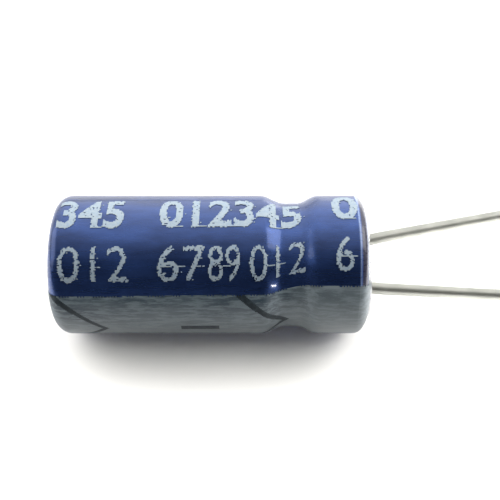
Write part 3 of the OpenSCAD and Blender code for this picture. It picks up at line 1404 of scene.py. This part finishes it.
@dataclass(frozen=True)
class Innards:
    """The frame's own solids that show their shape as they are and only get a finish."""

    finishes: tuple[tuple[MetalFinish | SoftFinish, tuple[Node, ...]], ...] = (
        (DRAWN_CAN, (Node.CAN,)),
        (RUBBER, (Node.BUNG,)),
        (ANODE, (Node.ANODE,)),
        (CATHODE, (Node.CATHODE,)),
        (PAPER, (Node.INNER_PAPER, Node.OUTER_PAPER)),
        (TAPE, (Node.TAPE,)),
        (TAB_METAL, (Node.POSITIVE_TAB, Node.NEGATIVE_TAB)),
    )

    def dress(self) -> None:
        """Gives each solid its material."""
        for finish, nodes in self.finishes:
            material = finish.material()
            for node in nodes:
                solid = frame["nodes"][node.value]
                solid.data.materials.clear()
                solid.data.materials.append(material)
                log.info("%s: %s", node.value, material.name)


@dataclass(frozen=True)
class AreaLamp:
    """A rectangular lamp that points at the part, and whether gloss shows it.

    Its place and sides are millimetres and its power is watts.
    """

    name: str
    place: Triple
    size: Point
    power: float
    mirrored: bool = True

    def build(self, aim: Vector) -> None:
        """Adds the lamp.

        Args:
            aim: The place it points at, in millimetres.
        """
        data = bpy.data.lights.new(self.name, "AREA")
        data.shape = "RECTANGLE"
        data.size, data.size_y = (side * MM for side in self.size)
        data.energy = self.power
        lamp = bpy.data.objects.new(self.name, data)
        bpy.context.scene.collection.objects.link(lamp)
        lamp.visible_glossy = self.mirrored
        lamp.location = Vector(self.place) * MM
        lamp.rotation_euler = (aim - Vector(self.place)).to_track_quat("-Z", "Y").to_euler()


@dataclass
class Studio:
    """Pale table, soft light from behind and above, and the camera.

    The windows light the part and cast its shadow, and gloss shows the sky and the cards instead.
    A sky is a run of greys from the low front to the high back, as places and levels. The table is
    one colour to soft light and another to the camera, and gloss meets a grey that ramps along
    the axes given, in millimetres: painted light on the table, as gloss sees it.
    """

    rest_z: float
    elevation: float = 50.0
    distance: float = 32.0
    aim_x: float = -4.16
    aim_up: float = 0.537
    lens: float = 60.05
    sensor: float = 36.0
    nearest: float = 1.0
    table_side: float = 1600.0
    table_plain: Colour = (0.30, 0.30, 0.30)
    table_seen: Colour = (1.0, 0.985, 0.95)
    # painted light: the table as gloss sees it is painted darker towards the front and the back
    # and brighter towards +X
    table_mirrored: tuple[tuple[str, Point, Point], ...] = (
        ("Y", (-17.0, 0.06), (-5.0, 0.8)),
        ("Y", (5.0, 1.0), (12.0, 0.6)),
        ("X", (1.0, 1.0), (4.0, 1.9)),
    )
    sky_tilt: float = 30.0
    sky: tuple[Point, ...] = ((0.0, 0.22), (0.45, 0.22), (0.62, 0.25), (0.80, 0.5), (1.0, 0.8))
    mirrored_sky: tuple[Point, ...] = (
        (0.0, 0.02), (0.42, 0.035), (0.56, 0.15), (0.68, 0.45), (0.79, 0.76), (0.88, 1.06),
        (0.955, 1.5), (1.0, 1.75),
    )
    lamps: tuple[AreaLamp, ...] = (
        AreaLamp("window", (7.84, 64.28, 76.60), (700, 110), 0.36, mirrored=False),
        AreaLamp("left_window", (-84.16, 30, 55), (120, 100), 0.11, mirrored=False),
        AreaLamp("right_window", (75.84, 30, 55), (120, 100), 0.16, mirrored=False),
        AreaLamp("right_card", (73, 22, 60), (55, 60), 0.024),
        AreaLamp("left_card", (-95, 10, 42), (80, 60), 0.022),
        AreaLamp("small_lamp", (73.0, -68.8, 4.9), (1.2, 3), 0.003),
    )

    def build(self) -> None:
        """Sets up the table, the light and the camera."""
        self.table()
        self.room()
        for lamp in self.lamps:
            lamp.build(Vector((self.aim_x, 0, 0)))
        self.camera()
        bpy.context.scene.view_settings.view_transform = "Standard"

    def table(self) -> None:
        """Adds the table's top, which carries the shadow."""
        bpy.ops.object.select_all(action="DESELECT")
        bpy.ops.mesh.primitive_grid_add(
            x_subdivisions=4,
            y_subdivisions=4,
            size=self.table_side * MM,
            location=(0, 0, self.rest_z * MM),
        )
        top = bpy.context.object
        top.name = "table_top"
        shader = Shader("pale_table")
        path = shader.add("ShaderNodeLightPath").outputs
        mirrored = shader.math("MAXIMUM", path["Is Glossy Ray"], path["Is Transmission Ray"])
        level = 1.0
        # painted light on the table for gloss rays
        for axis, low, high in self.table_mirrored:
            level = shader.math("MULTIPLY", shader.ramp(shader.along(axis), low, high), level)
        plain = shader.blend(mirrored, self.table_plain, level)
        seen = shader.blend(path["Is Camera Ray"], plain, self.table_seen)
        face = shader.add("ShaderNodeBsdfDiffuse", Color=seen)
        shader.feed(shader.output.inputs["Surface"], face.outputs[0])
        top.data.materials.append(shader.material)

    def room(self) -> None:
        """Makes the world bright behind the part, dim in front of it and white to the camera."""
        world = bpy.data.worlds.new("soft_room")
        world.use_nodes = True
        bpy.context.scene.world = world
        tree = Tree(world.node_tree)
        back = math.radians(self.sky_tilt)
        towards = tree.add("ShaderNodeVectorMath", operation="DOT_PRODUCT")
        tree.feed(towards.inputs[0], tree.add("ShaderNodeTexCoord").outputs["Generated"])
        tree.feed(towards.inputs[1], (0, math.cos(back), math.sin(back)))
        height = tree.ramp(towards.outputs["Value"], (-1.0, 0.0), (1.0, 1.0))
        path = tree.add("ShaderNodeLightPath").outputs
        skies = [self.shades(tree, height, stops) for stops in (self.sky, self.mirrored_sky)]
        lit = tree.blend(path["Is Glossy Ray"], *skies)
        seen = tree.blend(path["Is Camera Ray"], lit, (1.0, 1.0, 1.0))
        background = tree.add("ShaderNodeBackground", Color=seen, Strength=1.0)
        tree.add("ShaderNodeOutputWorld", Surface=background.outputs[0])

    def shades(
        self, tree: Tree, height: bpy.types.NodeSocket, stops: Sequence[Point]
    ) -> bpy.types.NodeSocket:
        """Adds a smooth run of greys.

        Args:
            tree: The tree it belongs to.
            height: Place along the run, from 0 to 1.
            stops: Places along the run and their levels.

        Returns:
            The grey at the place.
        """
        node = tree.add("ShaderNodeValToRGB")
        node.color_ramp.interpolation = "EASE"
        for position, _ in stops[1:-1]:
            node.color_ramp.elements.new(position)
        for element, (position, level) in zip(node.color_ramp.elements, stops):
            element.position = position
            element.color = (level, level, level, 1)
        tree.feed(node.inputs[0], height)
        return node.outputs[0]

    def camera(self) -> None:
        """Adds the camera at the photograph's angle."""
        rise = math.radians(self.elevation)
        view = Vector((0, -math.cos(rise), math.sin(rise)))
        up = Vector((0, math.sin(rise), math.cos(rise)))
        target = Vector((self.aim_x, 0, 0)) + up * self.aim_up
        data = bpy.data.cameras.new("camera")
        data.lens = self.lens
        data.sensor_width = self.sensor
        data.clip_start = self.nearest * MM
        camera = bpy.data.objects.new("camera", data)
        bpy.context.scene.collection.objects.link(camera)
        turn = Matrix((Vector((1, 0, 0)), up, view)).transposed().to_4x4()
        place = (target + view * self.distance) * MM
        camera.matrix_world = Matrix.Translation(place) @ turn
        bpy.context.scene.camera = camera


BOLD_GROUPS = (Group("345", -11.1, 2.4), Group("012345", -7.42, 5.18), Group("01", -1.08, 1.6))
THIN_GROUPS = (
    Group("012", -10.96, 2.5),
    Group("67", -7.43, 1.69),
    Group("89", -5.64, 1.13),
    Group("012", -4.16, 2.04),
    Group("6", -0.99, 0.63),
)


def main() -> None:
    """Builds and dresses every piece in order, and reports each one."""
    logging.basicConfig(level=logging.INFO, format="%(name)s %(message)s")
    can_low, can_high = (in_mm(corner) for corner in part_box(Node.CAN.value))
    film_low, _ = (in_mm(corner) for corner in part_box(Node.SLEEVE.value))
    profile = FilmProfile(can_l=-can_low.x, can_r=can_high.z, film_r=-film_low.z)
    twist = FilmTwist()
    SleeveFilm(profile).build()
    PolarityPrint(profile, twist).build()
    CountRow(
        Row.BOLD, profile, twist, BOLD_GROUPS,
        low=81, high=113, weight=0.022, rough=0.06, bare=0.5, tail_height=0.04,
    ).build()
    CountRow(
        Row.THIN, profile, twist, THIN_GROUPS,
        low=38, high=65.6, weight=-0.004, rough=0.09, bare=0.36, tail_height=0.42,
    ).build()
    TinnedWire(Node.POSITIVE_LEAD).build()
    TinnedWire(Node.NEGATIVE_LEAD).build()
    Innards().dress()
    Studio(film_low.z).build()


if __name__ == "__main__":
    main()
